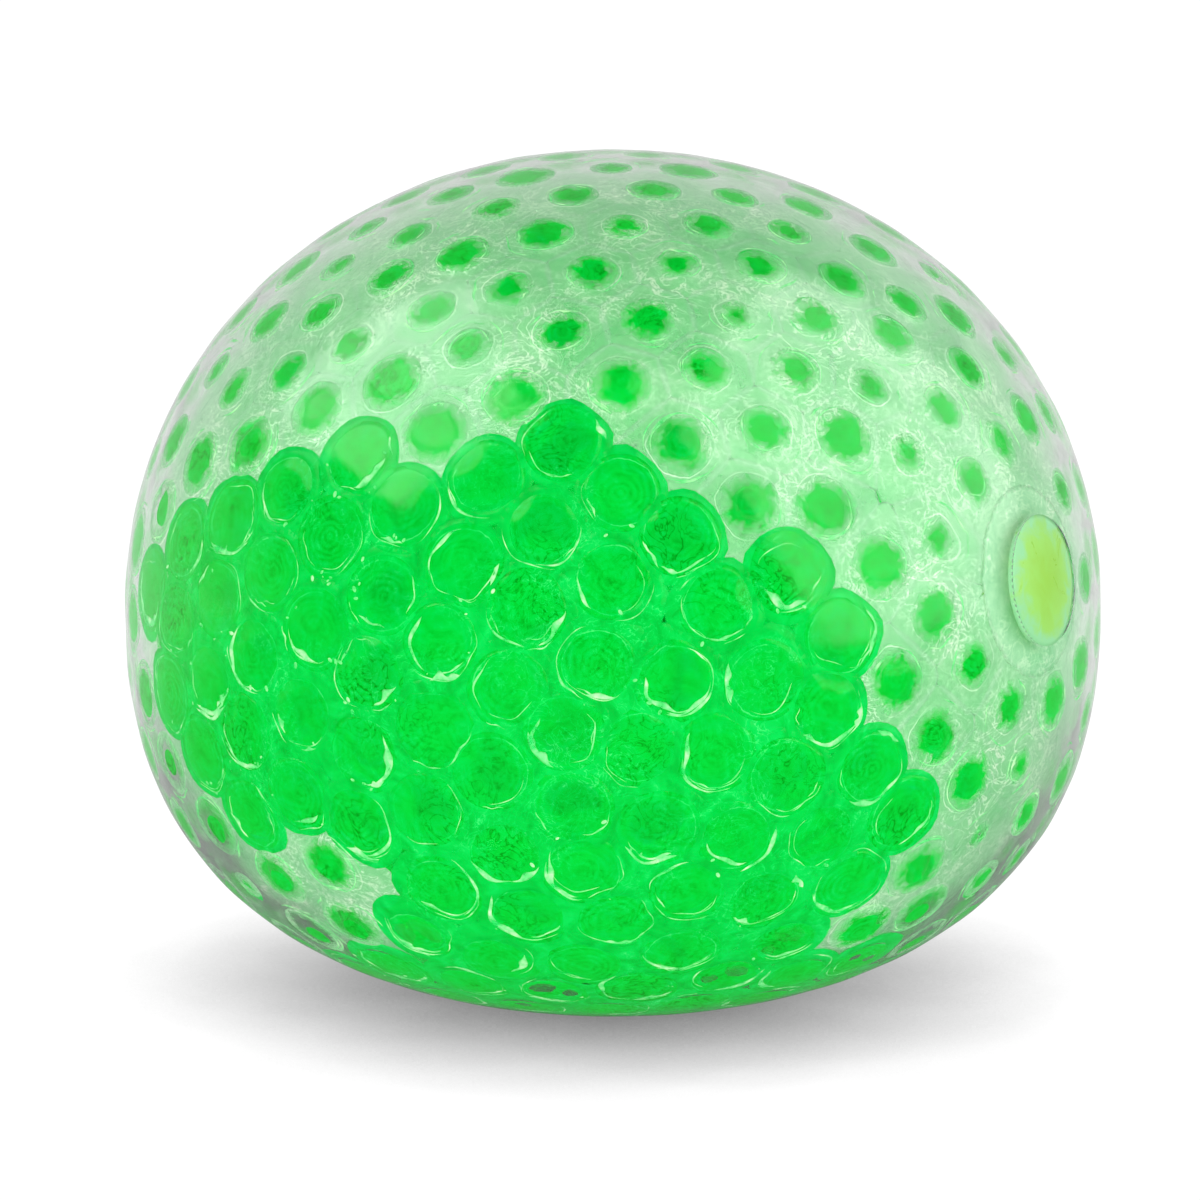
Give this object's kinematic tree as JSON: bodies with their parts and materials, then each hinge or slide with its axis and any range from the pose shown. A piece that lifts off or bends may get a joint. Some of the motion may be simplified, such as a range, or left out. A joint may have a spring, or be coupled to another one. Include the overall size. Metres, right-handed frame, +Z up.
{
  "type": "stress ball",
  "caption": "Soft squeeze ball: a clear moulded skin packed with round gel beads, with a plugged filling port in its side and a flattened resting patch.",
  "frame": {"origin": "middle of the flattened patch that the ball rests on", "axes": "+Z up through the crown; the filling port faces +X, turned 30 degrees towards -Y"},
  "size_m": [0.0732, 0.0732, 0.063],
  "materials": {
    "clear_skin": "clear soft moulded rubber, glossy outside",
    "plug_rubber": "satin cast rubber, slightly yellowed",
    "gel_bead": "wet translucent water gel"
  },
  "bodies": {
    "skin_and_base": {"skin": "clear_skin", "base_bead_core": "gel_bead", "base_bead_01": "gel_bead", "base_bead_02": "gel_bead", "base_bead_03": "gel_bead", "base_bead_04": "gel_bead", "base_bead_05": "gel_bead", "base_bead_06": "gel_bead", "base_bead_07": "gel_bead", "base_bead_08": "gel_bead", "base_bead_09": "gel_bead", "base_bead_10": "gel_bead"},
    "lower_layer": {"lower_bead_core": "gel_bead", "lower_bead_01": "gel_bead", "lower_bead_02": "gel_bead", "lower_bead_03": "gel_bead", "lower_bead_04": "gel_bead", "lower_bead_05": "gel_bead", "lower_bead_06": "gel_bead", "lower_bead_07": "gel_bead", "lower_bead_08": "gel_bead", "lower_bead_09": "gel_bead", "lower_bead_10": "gel_bead"},
    "middle_layer": {"middle_bead_core": "gel_bead", "middle_bead_01": "gel_bead", "middle_bead_02": "gel_bead", "middle_bead_03": "gel_bead", "middle_bead_04": "gel_bead", "middle_bead_05": "gel_bead", "middle_bead_06": "gel_bead", "middle_bead_07": "gel_bead", "middle_bead_08": "gel_bead", "middle_bead_09": "gel_bead", "middle_bead_10": "gel_bead"},
    "upper_layer": {"upper_bead_core": "gel_bead", "upper_bead_01": "gel_bead", "upper_bead_02": "gel_bead", "upper_bead_03": "gel_bead", "upper_bead_04": "gel_bead", "upper_bead_05": "gel_bead", "upper_bead_06": "gel_bead", "upper_bead_07": "gel_bead", "upper_bead_08": "gel_bead", "upper_bead_09": "gel_bead", "upper_bead_10": "gel_bead"},
    "crown_layer": {"crown_bead_core": "gel_bead", "crown_bead_01": "gel_bead", "crown_bead_02": "gel_bead", "crown_bead_03": "gel_bead", "crown_bead_04": "gel_bead", "crown_bead_05": "gel_bead", "crown_bead_06": "gel_bead", "crown_bead_07": "gel_bead", "crown_bead_08": "gel_bead", "crown_bead_09": "gel_bead", "crown_bead_10": "gel_bead"},
    "plug": {"fill_plug": "plug_rubber"}
  },
  "joints": [
    {"name": "squeeze", "type": "slide", "parent": "skin_and_base", "child": "crown_layer", "axis": [0, 0, -1], "range_m": [0, 0.018], "stiffness_N_per_m": 2500, "springref_m": -0.001, "deforming": ["skin", "base_bead_core", "base_bead_01", "base_bead_02", "base_bead_03", "base_bead_04", "base_bead_05", "base_bead_06", "base_bead_07", "base_bead_08", "base_bead_09", "base_bead_10", "crown_bead_core", "crown_bead_01", "crown_bead_02", "crown_bead_03", "crown_bead_04", "crown_bead_05", "crown_bead_06", "crown_bead_07", "crown_bead_08", "crown_bead_09", "crown_bead_10"]},
    {"name": "upper_follows", "type": "slide", "parent": "skin_and_base", "child": "upper_layer", "axis": [0, 0, -1], "range_m": [0, 0.014], "deforming": ["upper_bead_core", "upper_bead_01", "upper_bead_02", "upper_bead_03", "upper_bead_04", "upper_bead_05", "upper_bead_06", "upper_bead_07", "upper_bead_08", "upper_bead_09", "upper_bead_10"]},
    {"name": "middle_follows", "type": "slide", "parent": "skin_and_base", "child": "middle_layer", "axis": [0, 0, -1], "range_m": [0, 0.01], "deforming": ["middle_bead_core", "middle_bead_01", "middle_bead_02", "middle_bead_03", "middle_bead_04", "middle_bead_05", "middle_bead_06", "middle_bead_07", "middle_bead_08", "middle_bead_09", "middle_bead_10"]},
    {"name": "lower_follows", "type": "slide", "parent": "skin_and_base", "child": "lower_layer", "axis": [0, 0, -1], "range_m": [0, 0.0062], "deforming": ["lower_bead_core", "lower_bead_01", "lower_bead_02", "lower_bead_03", "lower_bead_04", "lower_bead_05", "lower_bead_06", "lower_bead_07", "lower_bead_08", "lower_bead_09", "lower_bead_10"]},
    {"name": "plug_follows", "type": "slide", "parent": "skin_and_base", "child": "plug", "axis": [0, 0, -1], "range_m": [0, 0.0115]}
  ],
  "couplings": [
    {"joint": "upper_follows", "follows": "squeeze", "ratio": 0.76667},
    {"joint": "middle_follows", "follows": "squeeze", "ratio": 0.54444},
    {"joint": "lower_follows", "follows": "squeeze", "ratio": 0.33333},
    {"joint": "plug_follows", "follows": "squeeze", "ratio": 0.62778}
  ]
}
